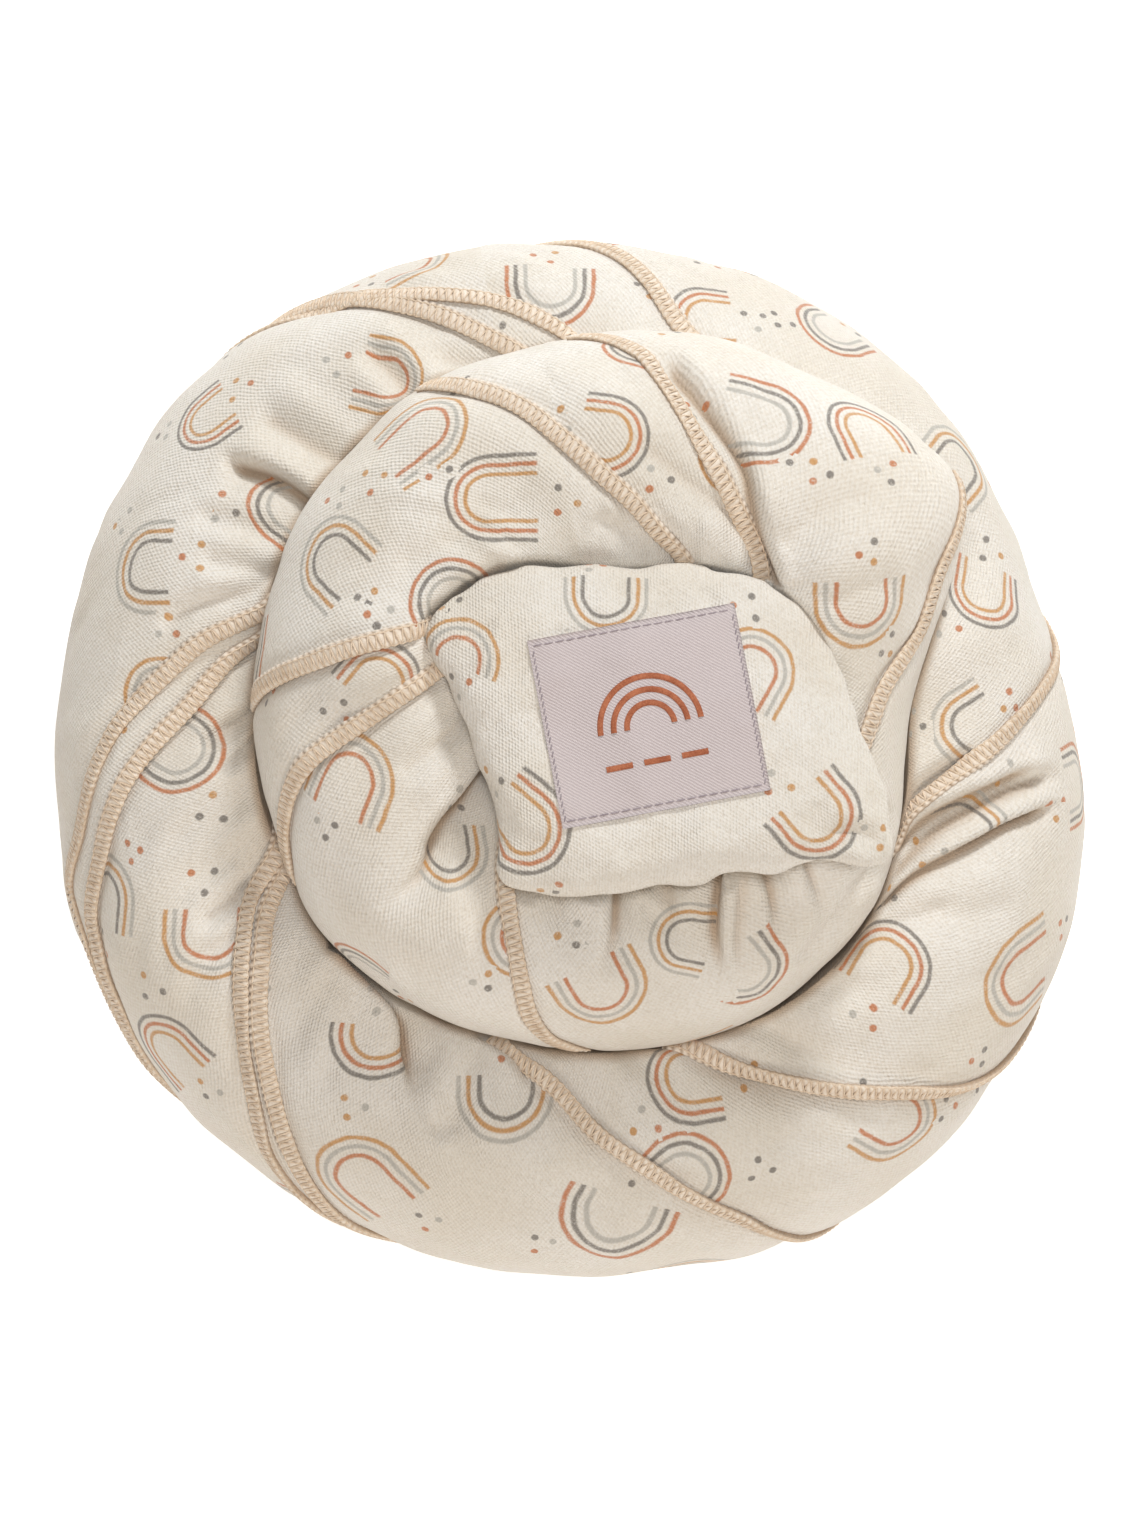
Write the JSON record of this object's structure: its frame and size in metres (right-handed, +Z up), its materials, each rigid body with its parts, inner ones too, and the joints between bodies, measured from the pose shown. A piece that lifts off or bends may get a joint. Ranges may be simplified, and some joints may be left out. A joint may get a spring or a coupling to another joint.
{
  "type": "baby wrap sling",
  "caption": "Stretch jersey wrap sling, twisted and rolled into a round bun, with overlocked long edges and its labelled loose end folded over the middle.",
  "frame": {"origin": "middle of the rolled bun, on the surface that it rests on", "axes": "+Z up along the bun's axis, towards the label; +Y towards the fold that the loose end turns about; +X to the right of the label"},
  "size_m": [0.284, 0.2847, 0.1313],
  "materials": {
    "jersey": "printed cotton stretch jersey, matt",
    "hem": "overlocked jersey edge, matt",
    "overlock_thread": "spun polyester sewing thread",
    "label": "woven twill label, slight sheen",
    "label_thread": "sewing thread",
    "motif_thread": "woven-in rust coloured thread"
  },
  "bodies": {
    "roll": {"core_turn": "jersey", "lower_turn": "jersey", "upper_turn": "jersey", "centre_gather": "jersey", "lower_turn_hems": "hem", "upper_turn_hems": "hem", "lower_hem_thread": "overlock_thread", "upper_hem_thread": "overlock_thread"},
    "flap": {"end_flap": "jersey", "label_patch": "label", "label_stitching": "label_thread", "label_motif": "motif_thread"}
  },
  "joints": [
    {"name": "end_flap_lift", "type": "hinge", "parent": "roll", "child": "flap", "pos_m": [0.019, 0.041, 0.119], "axis": [-1, 0, 0], "range_deg": [0, 70]}
  ]
}
